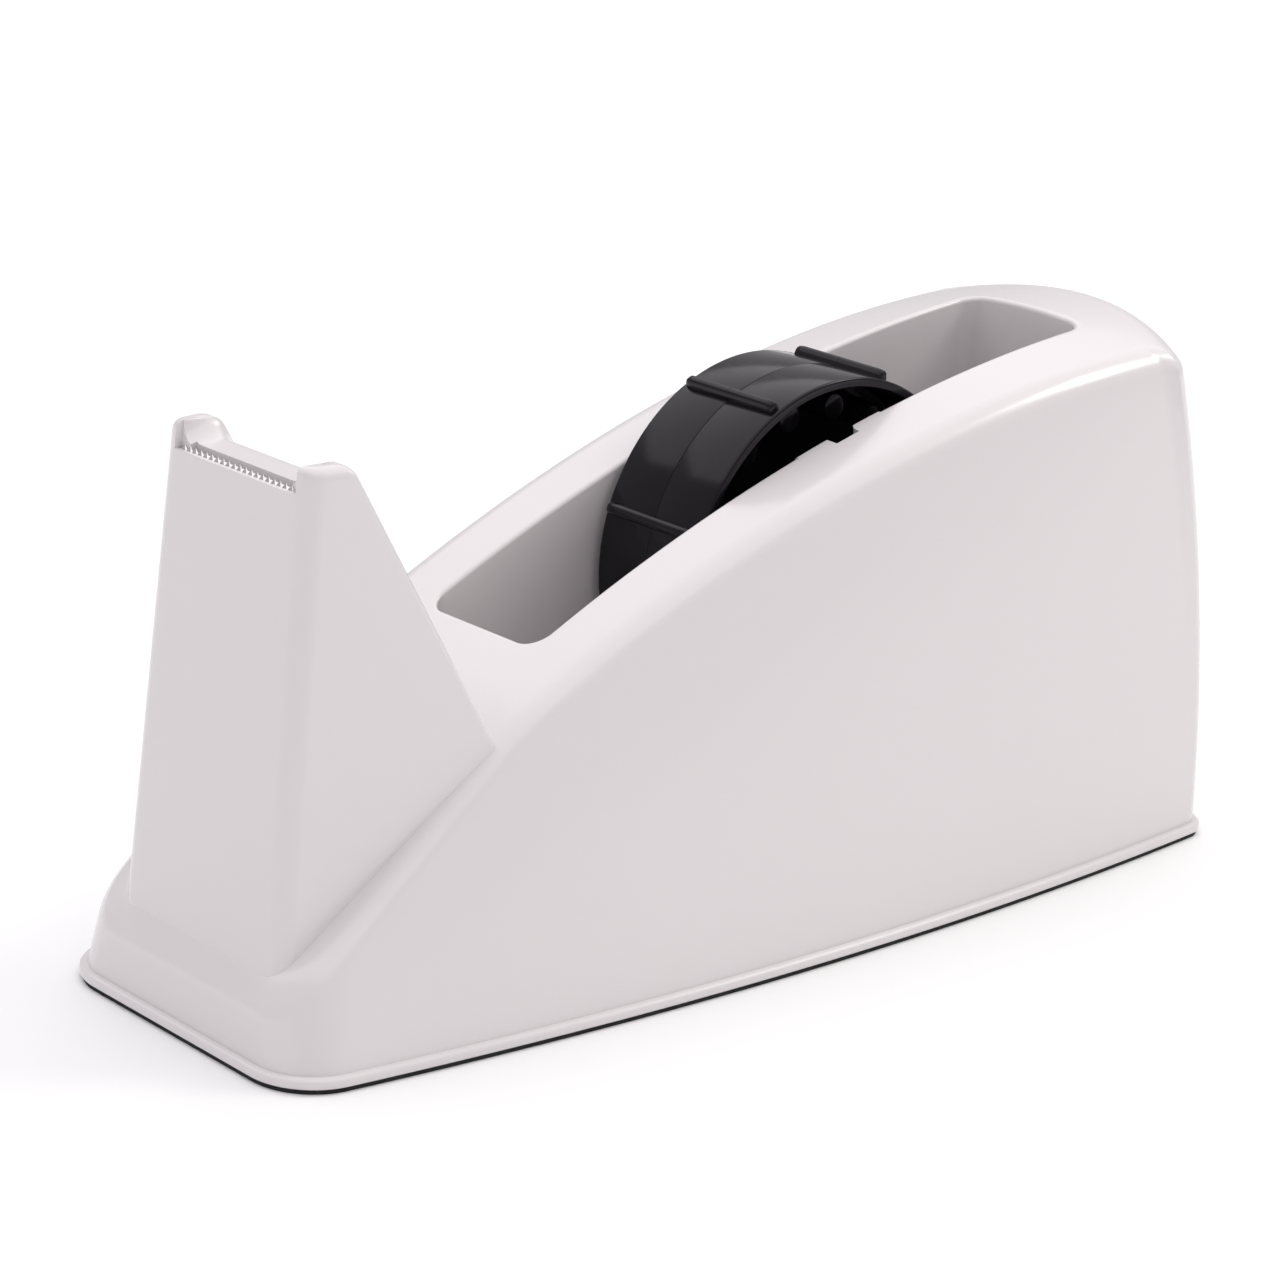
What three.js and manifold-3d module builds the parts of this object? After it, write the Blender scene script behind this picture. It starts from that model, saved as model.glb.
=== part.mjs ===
// Desk tape dispenser: weighted casing, tower with a serrated blade, and a lift-out tape hub.
// Millimetres. The blade end is at -X, the tape well at +X, and Z is up from the table.
import * as THREE from 'three';
import Module from 'manifold-3d';
import { mergeVertices } from 'three/addons/utils/BufferGeometryUtils.js';

const wasm = await Module();
wasm.setup();

// Driving dimensions. Every x below is measured from the front of the base flange.
const LENGTH = 236;
const WIDTH = 88.4;
const HEIGHT = 104.8;

// Plan of the base flange: straight front, two bowed sides and a bowed rear.
const WIDEST_X = 134;
const SIDE_RADIUS = 880;
const REAR_RADIUS = 71;
const FRONT_CORNER_RADIUS = 13;
const REAR_CORNER_RADIUS = 6;

// Base: pad under a tray, whose flange stands proud of the casing wall.
const PAD_THICKNESS = 0.8;
const PAD_INSET = 0.6;
const TRAY_THICKNESS = 2;
const FLANGE_LEDGE = 1.5;
const TRAY_LIP_HEIGHT = 5;
const RIB_THICKNESS = 1.4;
const RIB_HEIGHT = 4;

// Casing shell. Its walls lean in by a draft, a fraction of height, and bow in further up.
const WALL = 2.4;
const FRONT_DRAFT = 0.086;
const REAR_DRAFT = 0.015;
const SIDE_DRAFT_FRONT = 0.233;
const SIDE_DRAFT_REAR = 0.01;
const SIDE_BOW_RADIUS = 775;
const REAR_BOW_RADIUS = 435;
const RIDGE_FILLET = 4;

// Deck line in side view: a straight ramp, then one long curve up to the crown.
const LIP_HEIGHT = 13.4;
const RAMP_ANGLE = 38.8;
const RAMP_LENGTH = 64.2;
const RAMP_BLEND = 5;
const CROWN_SETBACK = 2;
const CROWN_BLEND = 97;
const CROWN_CAMBER = 5.2;
const CAMBER_START = 70;
const CAMBER_HALF_WIDTH = WIDTH / 3;
const REAR_ROLL_RADIUS = 80;

// Tape well.
const FRONT_DECK = 65.6;
const REAR_DECK = 33;
const WELL_WIDTH = 28.8;
const WELL_CORNER_RADIUS = 4;
const WELL_END_DRAFT = 0.04;
const WELL_FLOOR_RADIUS = 30;
const TUB_WALL = 2.2;

// Hub and axle.
const HUB_HEIGHT = 62.8;
const HUB_OFFSET = 6;
const HUB_WIDTH = 24.9;
const HUB_RADIUS = 36.2;
const HUB_RIM = 1.8;
const HUB_WEB = 1.8;
const HUB_BOSS_RADIUS = 9;
const HUB_BOSS_HEIGHT = 5.2;
const HUB_RIB_COUNT = 8;
const HUB_RIB_HEIGHT = 1.9;
const HUB_RIB_THICKNESS = 2.4;
const HUB_RIB_LENGTH = 22.6;
const HUB_RIB_PHASE = 27;
const HUB_STUD_COUNT = 16;
const HUB_STUD_CIRCLE = 29.5;
const HUB_STUD_RADIUS = 2.6;
const HUB_STUD_HEIGHT = 7;
const HUB_PIN_RADIUS = 1.2;
const HUB_PIN_LENGTH = 5;
const HUB_STUDS_PER_PIN = 4;
const HUB_CHAMFER = 0.6;
const AXLE_RADIUS = 5;
const AXLE_CLEARANCE = 0.08;
const JOURNAL_RADIUS = 2.6;
const JOURNAL_CLEARANCE = 0.3;
const SLOT_DEPTH = 2.8;
const SLOT_LEAN = 6.5;
const SLOT_LEAD_RADIUS = 2.6;
const SLOT_PAD_REACH = 10.5;
const SLOT_PAD_PROUD = 0.4;

// Tower.
const TOWER_HEIGHT = 102.2;
const TOWER_FOOT_X = 5.7;
const TOWER_FOOT_HEIGHT = 20.2;
const TOWER_FRONT_LEAN = 0.074;
const TOWER_TOP_LENGTH = 8.4;
const TOWER_BACK_ANGLE = 61.6;
const TOWER_HALF_WIDTH = 21.6;
const TOWER_FLARE = 0.1225;
const TOWER_SIDE_DRAFT = 0.0398;
const TOWER_CORNER_RADIUS = 4;
const TOWER_BACK_CORNER_RADIUS = 1.2;

// Platform that the tape rests on, and the blade in its slit along the platform's front.
const PLATFORM_DROP = 2.7;
const TOWER_CAP = 3;
const BLADE_WIDTH = 32.4;
const BLADE_DEPTH = 9;
const BLADE_THICKNESS = 0.5;
const BLADE_SKIN = 0.8;
const BLADE_SEAT_DROP = 4.5;
const TOOTH_COUNT = 21;
const TOOTH_LENGTH = 1;

// Ballast blocks, screws and their bosses.
const FRONT_BALLAST = { length: 34, width: 42, height: 22 };
const SIDE_BALLAST = { length: 116, width: 10, height: 20 };
const REAR_BALLAST = { length: 9, width: 38, height: 36 };
const SCREW_RADIUS = 1.5;
const SCREW_LENGTH = 11;
const SCREW_HEAD_RADIUS = 2.8;
const SCREW_HEAD_HEIGHT = 1.2;
const DRIVE_SLOT_DEPTH = 0.6;
const DRIVE_SLOT_LENGTH = 3.4;
const DRIVE_SLOT_WIDTH = 0.6;
const BOSS_RADIUS = 3.3;
const FRONT_SCREW = { x: 18, y: 25 };
const REAR_SCREW = { setback: 19, y: 27 };
const SIDE_SCREW_INSET = 7.2;

const GAP = 0.3;
const OVERCUT = 5;
const ROUND_STEPS = 32;
const SMALL_STEPS = 12;
const CORNER_STEPS = 4;
const FLOOR_STEPS = 8;
const PLAN_STEPS = { frontCorner: 6, side: 20, rearCorner: 5, rear: 6 };
const WELD = 0.01;
const FILLET_STEPS = 4;
const FILLET_WEIGHT = 0.73;
const DECK_SHARES = [0.5, 0];
const SOLVE_PASSES = 40;

// Levels and places that follow from the sizes above.
const BASE_Z = PAD_THICKNESS + TRAY_THICKNESS;
const WELL_FLOOR_Z = BASE_Z + GAP + TUB_WALL;
const WELL_REAR_X = LENGTH - REAR_DECK;
const HUB_X = (FRONT_DECK + WELL_REAR_X) / 2 + HUB_OFFSET;
const TUB_HALF_WIDTH = WELL_WIDTH / 2 + TUB_WALL;
const SLOT_HALF_WIDTH = JOURNAL_RADIUS + JOURNAL_CLEARANCE;
const SLOT_END_Y = WELL_WIDTH / 2 + SLOT_DEPTH;
const CROWN_X = LENGTH - CROWN_SETBACK;
const rad = THREE.MathUtils.degToRad;

// ---------------------------------------------------------------- solids

function toManifold(geometry) {
  const bare = geometry.clone();
  for (const name of Object.keys(bare.attributes)) {
    if (name !== 'position') bare.deleteAttribute(name);
  }
  const welded = mergeVertices(bare);
  const index = Array.from(welded.index.array);
  const triangles = [];
  for (let i = 0; i < index.length; i += 3) {
    const [a, b, c] = index.slice(i, i + 3);
    if (a !== b && b !== c && c !== a) triangles.push(a, b, c);
  }
  return new wasm.Manifold(new wasm.Mesh({
    numProp: 3,
    vertProperties: new Float32Array(welded.attributes.position.array),
    triVerts: new Uint32Array(triangles),
  }));
}

function toGeometry(manifold) {
  const mesh = manifold.simplify(WELD).getMesh();
  const geometry = new THREE.BufferGeometry();
  geometry.setAttribute('position', new THREE.BufferAttribute(mesh.vertProperties, 3));
  geometry.setIndex(new THREE.BufferAttribute(mesh.triVerts, 1));
  const flat = geometry.toNonIndexed();
  flat.computeVertexNormals();
  return flat;
}

function fromTriangles(points, triangles) {
  const geometry = new THREE.BufferGeometry();
  geometry.setAttribute('position', new THREE.Float32BufferAttribute(points.flat(), 3));
  geometry.setIndex(triangles);
  return toManifold(geometry);
}

function unite(parts) {
  return parts.reduce((sum, part) => sum.add(part));
}

function box(x0, x1, y0, y1, z0, z1) {
  const geometry = new THREE.BoxGeometry(x1 - x0, y1 - y0, z1 - z0);
  geometry.translate((x0 + x1) / 2, (y0 + y1) / 2, (z0 + z1) / 2);
  return toManifold(geometry);
}

function cylinderZ(x, y, radius, z0, z1, steps = SMALL_STEPS) {
  const geometry = new THREE.CylinderGeometry(radius, radius, z1 - z0, steps);
  geometry.rotateX(Math.PI / 2);
  geometry.translate(x, y, (z0 + z1) / 2);
  return toManifold(geometry);
}

function cylinderY(x, z, radius, y0, y1, steps = ROUND_STEPS) {
  const geometry = new THREE.CylinderGeometry(radius, radius, y1 - y0, steps);
  geometry.translate(x, (y0 + y1) / 2, z);
  return toManifold(geometry);
}

// Solid of revolution about Y from a closed outline of [radius, y] points.
function turnedY(outline, steps) {
  const points = [...outline, outline[0]].map(([r, y]) => new THREE.Vector2(r, y));
  return toManifold(new THREE.LatheGeometry(points, steps));
}

// Prism with its outline in the XY plane.
function prismZ(outline, z0, z1) {
  const shape = new THREE.Shape(outline.map(([x, y]) => new THREE.Vector2(x, y)));
  const geometry = new THREE.ExtrudeGeometry(shape, { depth: z1 - z0, bevelEnabled: false });
  geometry.translate(0, 0, z0);
  return toManifold(geometry);
}

// Prism with its outline in the XZ plane.
function prismY(outline, y0, y1) {
  const shape = new THREE.Shape(outline.map(([x, z]) => new THREE.Vector2(x, z)));
  const geometry = new THREE.ExtrudeGeometry(shape, { depth: y1 - y0, bevelEnabled: false });
  geometry.rotateX(Math.PI / 2);
  geometry.translate(0, y1, 0);
  return toManifold(geometry);
}

// Closed solid through convex sections that have the same number of points.
function loft(sections) {
  const count = sections[0].length;
  const triangles = [];
  for (let s = 0; s + 1 < sections.length; s += 1) {
    for (let i = 0; i < count; i += 1) {
      const a = s * count + i;
      const b = s * count + ((i + 1) % count);
      triangles.push(a, b, b + count, a, b + count, a + count);
    }
  }
  const last = (sections.length - 1) * count;
  for (let i = 1; i + 1 < count; i += 1) {
    triangles.push(0, i + 1, i, last, last + i, last + i + 1);
  }
  return fromTriangles(sections.flat(), triangles);
}

// Rounds the corners of a convex outline with arcs.
function roundCorners(corners, radii, steps = CORNER_STEPS) {
  const outline = [];
  corners.forEach((corner, i) => {
    const here = new THREE.Vector2(...corner);
    const back = new THREE.Vector2(...corners.at(i - 1)).sub(here).normalize();
    const ahead = new THREE.Vector2(...corners[(i + 1) % corners.length]).sub(here).normalize();
    const half = Math.acos(THREE.MathUtils.clamp(back.dot(ahead), -1, 1)) / 2;
    const inward = back.clone().add(ahead).normalize();
    const centre = here.clone().addScaledVector(inward, radii[i] / Math.sin(half));
    const start = here.clone().addScaledVector(back, radii[i] / Math.tan(half)).sub(centre);
    const turn = Math.PI - 2 * half;
    for (let k = 0; k <= steps; k += 1) {
      const point = start.clone().rotateAround(new THREE.Vector2(), (turn * k) / steps).add(centre);
      outline.push([point.x, point.y]);
    }
  });
  return outline;
}

// ---------------------------------------------------------------- body surface

// Points on an arc, with radius as a function of the angle.
function arc(centre, radiusAt, from, to, steps) {
  return Array.from({ length: steps + 1 }, (_, k) => {
    const angle = from + ((to - from) * k) / steps;
    const radius = radiusAt(angle);
    return [centre[0] + radius * Math.cos(angle), centre[1] + radius * Math.sin(angle)];
  });
}

function bearing(from, to) {
  return Math.atan2(to[1] - from[1], to[0] - from[0]);
}

const SIDE_CENTRE = [WIDEST_X, WIDTH / 2 - SIDE_RADIUS];
const REAR_CENTRE = [LENGTH - REAR_RADIUS, 0];

// Half of the plan, front centre to rear centre. front, rear and sideAt(x) say how far each
// stretch lies inside the flange, and the two corners are arcs that meet both neighbours.
function halfPlan(front, rear, sideAt, cornerInset) {
  const frontRadius = Math.max(FRONT_CORNER_RADIUS - cornerInset, 1);
  const rearRadius = Math.max(REAR_CORNER_RADIUS - cornerInset, 1);
  const sideRadiusAt = (angle) => SIDE_RADIUS - sideAt(WIDEST_X + SIDE_RADIUS * Math.cos(angle));
  const frontX = front + frontRadius;
  const frontArm = SIDE_RADIUS - sideAt(0) - frontRadius;
  const frontCorner = [frontX, SIDE_CENTRE[1] + Math.sqrt(frontArm ** 2 - (frontX - WIDEST_X) ** 2)];
  const sideArm = SIDE_RADIUS - sideAt(LENGTH) - rearRadius;
  const rearArm = REAR_RADIUS - rear - rearRadius;
  const span = Math.hypot(REAR_CENTRE[0] - SIDE_CENTRE[0], REAR_CENTRE[1] - SIDE_CENTRE[1]);
  const lift = Math.acos((sideArm ** 2 + span ** 2 - rearArm ** 2) / (2 * sideArm * span));
  const rearJoin = bearing(SIDE_CENTRE, REAR_CENTRE) - lift;
  const rearCorner = arc(SIDE_CENTRE, () => sideArm, rearJoin, rearJoin, 1)[0];
  const frontJoin = bearing(SIDE_CENTRE, frontCorner);
  const rearTurn = bearing(REAR_CENTRE, rearCorner);
  return [
    [front, 0],
    ...arc(frontCorner, () => frontRadius, Math.PI, frontJoin, PLAN_STEPS.frontCorner),
    ...arc(SIDE_CENTRE, sideRadiusAt, frontJoin, rearJoin, PLAN_STEPS.side).slice(1, -1),
    ...arc(rearCorner, () => rearRadius, rearJoin, rearTurn, PLAN_STEPS.rearCorner),
    ...arc(REAR_CENTRE, () => REAR_RADIUS - rear, rearTurn, 0, PLAN_STEPS.rear).slice(1),
  ];
}

function sideDraft(x) {
  const share = THREE.MathUtils.clamp(x / (LENGTH - 2 * REAR_CORNER_RADIUS), 0, 1);
  return SIDE_DRAFT_FRONT - (SIDE_DRAFT_FRONT - SIDE_DRAFT_REAR) * share;
}

// Half of the casing's section at height z, moved inward by inset.
function wallPlan(z, inset) {
  const shift = FLANGE_LEDGE + inset;
  const rise = z - BASE_Z;
  const front = shift + FRONT_DRAFT * rise;
  const rear = shift + REAR_DRAFT * rise + rise ** 2 / (2 * REAR_BOW_RADIUS);
  const bow = rise ** 2 / (2 * SIDE_BOW_RADIUS);
  return halfPlan(front, rear, (x) => shift + sideDraft(x) * rise + bow, shift);
}

const RAMP_SLOPE = new THREE.Vector2(Math.cos(rad(RAMP_ANGLE)), Math.sin(rad(RAMP_ANGLE)));
const RAMP_END = new THREE.Vector2(FLANGE_LEDGE, LIP_HEIGHT).addScaledVector(RAMP_SLOPE, RAMP_LENGTH);
const DECK_CURVE = new THREE.CubicBezierCurve(
  RAMP_END,
  RAMP_END.clone().addScaledVector(RAMP_SLOPE, RAMP_BLEND),
  new THREE.Vector2(CROWN_X - CROWN_BLEND, HEIGHT),
  new THREE.Vector2(CROWN_X, HEIGHT),
);

// Deck height along the centre line.
function deckLine(x) {
  if (x <= RAMP_END.x) return RAMP_END.y - (RAMP_END.x - x) * Math.tan(rad(RAMP_ANGLE));
  if (x >= CROWN_X) return HEIGHT - (x - CROWN_X) ** 2 / (2 * REAR_ROLL_RADIUS);
  let low = 0;
  let high = 1;
  for (let i = 0; i < SOLVE_PASSES; i += 1) {
    const middle = (low + high) / 2;
    if (DECK_CURVE.getPoint(middle).x < x) low = middle;
    else high = middle;
  }
  return DECK_CURVE.getPoint(low).y;
}

function deckHeight(x, y) {
  const run = Math.max(0, x - CAMBER_START) / (CROWN_X - CAMBER_START);
  return deckLine(x) - CROWN_CAMBER * run ** 2 * (y / CAMBER_HALF_WIDTH) ** 2;
}

// One column of the body skin: up the wall, round the ridge fillet and across the deck.
function bodyColumn(i, inset, bottomZ, fillet) {
  let ridgeZ = HEIGHT / 2;
  for (let pass = 0; pass < SOLVE_PASSES; pass += 1) {
    ridgeZ = deckHeight(...wallPlan(ridgeZ, inset)[i]) - inset;
  }
  const ridge = [...wallPlan(ridgeZ, inset)[i], ridgeZ];
  const wallTop = [...wallPlan(ridgeZ - fillet, inset)[i], ridgeZ - fillet];
  const [deckX, deckY] = wallPlan(ridgeZ, inset + fillet)[i];
  const deckEdge = [deckX, deckY, deckHeight(deckX, deckY) - inset];
  const [baseX, baseY] = wallPlan(bottomZ, inset)[i];
  const column = [[baseX, 0, bottomZ], [baseX, baseY, bottomZ]];
  for (let k = 0; k <= FILLET_STEPS; k += 1) {
    const s = k / FILLET_STEPS;
    const weights = [(1 - s) ** 2, 2 * FILLET_WEIGHT * s * (1 - s), s ** 2];
    const total = weights[0] + weights[1] + weights[2];
    column.push([0, 1, 2].map((axis) => (
      weights[0] * wallTop[axis] + weights[1] * ridge[axis] + weights[2] * deckEdge[axis]
    ) / total));
  }
  for (const share of DECK_SHARES) {
    const y = deckY * share;
    column.push([deckX, y, deckHeight(deckX, y) - inset]);
  }
  return column;
}

// The whole body, inset from its outer skin, as a closed solid down to bottomZ.
function bodySolid(inset, bottomZ, fillet) {
  const half = wallPlan(bottomZ, inset).map((_, i) => bodyColumn(i, inset, bottomZ, fillet));
  const count = half[0].length;
  const points = [...half.flat(), ...half.flat().map(([x, y, z]) => [x, -y, z])];
  const mirrored = half.length * count;
  const triangles = [];
  for (let i = 0; i + 1 < half.length; i += 1) {
    for (let k = 0; k + 1 < count; k += 1) {
      const a = i * count + k;
      const b = a + count;
      triangles.push(a, b + 1, b, a, a + 1, b + 1);
      const c = a + mirrored;
      const d = b + mirrored;
      triangles.push(c, d, d + 1, c, d + 1, c + 1);
    }
  }
  return fromTriangles(points, triangles);
}

// Slab with the flange outline, inset all round.
function planSlab(inset, z0, z1) {
  const half = halfPlan(inset, inset, () => inset, inset).slice(1);
  const mirrored = half.slice(0, -1).reverse().map(([x, y]) => [x, -y]);
  return prismZ([...half, ...mirrored], z0, z1);
}

// ---------------------------------------------------------------- tower

function towerBackX(z) {
  const topX = TOWER_FOOT_X + TOWER_FRONT_LEAN * (TOWER_HEIGHT - TOWER_FOOT_HEIGHT) + TOWER_TOP_LENGTH;
  return topX + (TOWER_HEIGHT - z) / Math.tan(rad(TOWER_BACK_ANGLE));
}

function towerHalfWidth(x, z) {
  return TOWER_HALF_WIDTH + TOWER_FLARE * x - TOWER_SIDE_DRAFT * (z - TOWER_FOOT_HEIGHT);
}

function towerFrontX(z) {
  return TOWER_FOOT_X + TOWER_FRONT_LEAN * (z - TOWER_FOOT_HEIGHT);
}

function towerSection(z, inset) {
  const front = towerFrontX(z) + inset;
  const back = towerBackX(z) - inset / Math.sin(rad(TOWER_BACK_ANGLE));
  const frontY = towerHalfWidth(front, z) - inset;
  const backY = towerHalfWidth(back, z) - inset;
  const frontRadius = Math.max(TOWER_CORNER_RADIUS - inset, 1);
  const corners = [[front, -frontY], [back, -backY], [back, backY], [front, frontY]];
  const radii = [frontRadius, TOWER_BACK_CORNER_RADIUS, TOWER_BACK_CORNER_RADIUS, frontRadius];
  return roundCorners(corners, radii).map(([x, y]) => [x, y, z]);
}

function towerSolid(inset, z0, z1) {
  return loft([z0, (z0 + z1) / 2, z1].map((z) => towerSection(z, inset)));
}

// Blade frame: x runs into the tower from its front face, and z runs up that face.
function placeOnFace(manifold) {
  const seat = TOWER_HEIGHT - BLADE_SEAT_DROP;
  const lean = THREE.MathUtils.radToDeg(Math.atan(TOWER_FRONT_LEAN));
  return manifold.rotate([0, lean, 0]).translate([towerFrontX(seat), 0, seat]);
}

// What is cut from the tower's top: the space between the cheeks, and the blade's slit.
function towerTopCuts() {
  const inner = BLADE_WIDTH / 2 + GAP;
  const reach = HEIGHT;
  const slitBack = BLADE_SKIN + BLADE_THICKNESS + 2 * GAP;
  const platform = box(-reach, reach, -inner, inner, TOWER_HEIGHT - PLATFORM_DROP, 2 * reach);
  const skinTop = placeOnFace(box(-reach, slitBack, -inner, inner, 0, reach));
  const slit = placeOnFace(box(BLADE_SKIN, slitBack, -inner, inner, -BLADE_DEPTH - GAP, reach));
  return unite([platform, skinTop, slit]);
}

function blade() {
  const pitch = BLADE_WIDTH / TOOTH_COUNT;
  const outline = [[0, -BLADE_WIDTH / 2], [-BLADE_DEPTH, -BLADE_WIDTH / 2], [-BLADE_DEPTH, BLADE_WIDTH / 2]];
  for (let tooth = 0; tooth < TOOTH_COUNT; tooth += 1) {
    const y = BLADE_WIDTH / 2 - tooth * pitch;
    outline.push([0, y]);
    outline.push([TOOTH_LENGTH, y - pitch / 2]);
  }
  const flat = prismZ(outline, 0, BLADE_THICKNESS);
  const back = BLADE_SKIN + GAP + BLADE_THICKNESS;
  return placeOnFace(flat.rotate([0, -90, 0]).translate([back, 0, 0]));
}

// ---------------------------------------------------------------- tape well and axle slots

// Side outline of the well, grown outward all round.
function wellOutline(grow) {
  const top = HEIGHT + OVERCUT;
  const floor = WELL_FLOOR_Z - grow;
  const draft = WELL_END_DRAFT * (top - floor);
  const front = FRONT_DECK - grow - WELL_END_DRAFT * (top - deckLine(FRONT_DECK));
  const rear = WELL_REAR_X + grow + WELL_END_DRAFT * (top - HEIGHT);
  const corners = [[front, top], [front + draft, floor], [rear - draft, floor], [rear, top]];
  const radius = WELL_FLOOR_RADIUS + grow;
  return roundCorners(corners, [0, radius, radius, 0], FLOOR_STEPS);
}

function wellSolid(grow) {
  const half = WELL_WIDTH / 2 + grow;
  const front = FRONT_DECK - grow;
  const rear = WELL_REAR_X + grow;
  const corners = [[front, -half], [rear, -half], [rear, half], [front, half]];
  const plan = roundCorners(corners, corners.map(() => WELL_CORNER_RADIUS + grow));
  return prismY(wellOutline(grow), -half, half).intersect(prismZ(plan, 0, HEIGHT + OVERCUT));
}

// Moves a solid from the axle's frame, whose z runs up the slots, to its place in the well.
function placeOnSlot(manifold) {
  return manifold.rotate([0, -SLOT_LEAN, 0]).translate([HUB_X, 0, HUB_HEIGHT]);
}

// Box in both walls of the well, mirrored about the centre plane, in the axle's frame.
function pairOfBoxes(x0, x1, y0, y1, z0, z1) {
  return placeOnSlot(box(x0, x1, y0, y1, z0, z1).add(box(x0, x1, -y1, -y0, z0, z1)));
}

function slotHousings() {
  const reach = SLOT_HALF_WIDTH + TUB_WALL;
  return pairOfBoxes(-reach, reach, WELL_WIDTH / 2, SLOT_END_Y + TUB_WALL, -reach, HEIGHT);
}

function slotPads() {
  const face = WELL_WIDTH / 2;
  return pairOfBoxes(-SLOT_PAD_REACH, SLOT_PAD_REACH, face - SLOT_PAD_PROUD, face + TUB_WALL / 2,
    -SLOT_PAD_REACH, HEIGHT);
}

// Grooves that the axle drops into. Their rear edge is rounded to lead the journal in.
function slotGrooves() {
  const face = WELL_WIDTH / 2 - SLOT_PAD_PROUD;
  const half = SLOT_HALF_WIDTH;
  const outline = [[half, SLOT_END_Y], [-half, SLOT_END_Y], [-half, 0], [half + SLOT_LEAD_RADIUS, 0]];
  for (let k = 0; k <= CORNER_STEPS; k += 1) {
    const angle = (k / CORNER_STEPS) * (Math.PI / 2);
    const x = half + SLOT_LEAD_RADIUS * (1 - Math.sin(angle));
    const y = face + SLOT_LEAD_RADIUS * (1 - Math.cos(angle));
    outline.push([x, y]);
  }
  const groove = prismZ(outline, 0, HEIGHT).add(cylinderY(0, 0, half, 0, SLOT_END_Y));
  return placeOnSlot(groove.add(groove.mirror([0, 1, 0])));
}

// ---------------------------------------------------------------- screws and ballast

function flangeHalfWidth(x) {
  return WIDTH / 2 - SIDE_RADIUS + Math.sqrt(SIDE_RADIUS ** 2 - (x - WIDEST_X) ** 2);
}

const WELL_MIDDLE_X = (FRONT_DECK + WELL_REAR_X) / 2;
const SCREW_PLACES = {
  front: FRONT_SCREW,
  middle: { x: WELL_MIDDLE_X, y: flangeHalfWidth(WELL_MIDDLE_X) - SIDE_SCREW_INSET },
  rear: { x: LENGTH - REAR_SCREW.setback, y: REAR_SCREW.y },
};
const SCREW_SEAT_Z = PAD_THICKNESS + SCREW_HEAD_HEIGHT;

function atEachScrew(make) {
  return unite(Object.values(SCREW_PLACES).flatMap(({ x, y }) => [make(x, y), make(x, -y)]));
}

// Upright cylinders of one radius at all the screws.
function screwHoles(radius, z0, z1, steps) {
  return atEachScrew((x, y) => cylinderZ(x, y, radius, z0, z1, steps));
}

function screw(x, y) {
  const bottom = SCREW_SEAT_Z - SCREW_HEAD_HEIGHT;
  const head = cylinderZ(x, y, SCREW_HEAD_RADIUS, bottom, SCREW_SEAT_Z, 2 * SMALL_STEPS);
  const shank = cylinderZ(x, y, SCREW_RADIUS, SCREW_SEAT_Z, SCREW_SEAT_Z + SCREW_LENGTH);
  const long = DRIVE_SLOT_LENGTH / 2;
  const thin = DRIVE_SLOT_WIDTH / 2;
  const top = bottom + DRIVE_SLOT_DEPTH;
  const across = box(x - long, x + long, y - thin, y + thin, bottom - OVERCUT, top);
  const along = box(x - thin, x + thin, y - long, y + long, bottom - OVERCUT, top);
  return head.add(shank).subtract(across.add(along));
}

// Corners of each ballast block: it stands on the tray, clear of the tape well.
function ballastBox(name) {
  const rib = GAP + RIB_THICKNESS + GAP;
  const inner = TUB_HALF_WIDTH + rib;
  if (name === 'front') {
    const { length, width, height } = FRONT_BALLAST;
    const rear = FRONT_DECK - TUB_WALL - rib;
    return [rear - length, rear, -width / 2, width / 2, BASE_Z, BASE_Z + height];
  }
  if (name === 'rear') {
    const { length, width, height } = REAR_BALLAST;
    const front = WELL_REAR_X + TUB_WALL + rib;
    return [front, front + length, -width / 2, width / 2, BASE_Z, BASE_Z + height];
  }
  const { length, width, height } = SIDE_BALLAST;
  const [y0, y1] = name === 'left' ? [inner, inner + width] : [-inner - width, -inner];
  return [WELL_MIDDLE_X - length / 2, WELL_MIDDLE_X + length / 2, y0, y1, BASE_Z, BASE_Z + height];
}

// Low fence on the tray round one ballast block.
function ballastFence(name) {
  const [x0, x1, y0, y1, z0] = ballastBox(name);
  const reach = GAP + RIB_THICKNESS;
  const outer = box(x0 - reach, x1 + reach, y0 - reach, y1 + reach, z0 - GAP, z0 + RIB_HEIGHT);
  return outer.subtract(box(x0 - GAP, x1 + GAP, y0 - GAP, y1 + GAP, z0 - OVERCUT, z0 + OVERCUT));
}

// ---------------------------------------------------------------- pieces

function casing() {
  const body = bodySolid(0, BASE_Z, RIDGE_FILLET);
  const tower = towerSolid(0, LIP_HEIGHT, TOWER_HEIGHT);
  const cavity = bodySolid(WALL, BASE_Z - OVERCUT, RIDGE_FILLET - WALL / 2);
  const hollow = towerSolid(WALL, LIP_HEIGHT, TOWER_HEIGHT - PLATFORM_DROP - TOWER_CAP);
  const shell = body.add(tower).subtract(cavity).subtract(hollow).subtract(towerTopCuts());
  const clip = bodySolid(WALL / 2, BASE_Z, RIDGE_FILLET);
  const bosses = screwHoles(BOSS_RADIUS, BASE_Z + GAP, HEIGHT).intersect(clip);
  const tub = wellSolid(TUB_WALL).add(slotHousings()).intersect(body);
  const pilotTop = SCREW_SEAT_Z + SCREW_LENGTH + GAP;
  const pilots = screwHoles(SCREW_RADIUS + GAP, 0, pilotTop);
  return unite([shell, bosses, tub])
    .subtract(wellSolid(0))
    .add(slotPads().intersect(body))
    .subtract(slotGrooves())
    .subtract(pilots);
}

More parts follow.
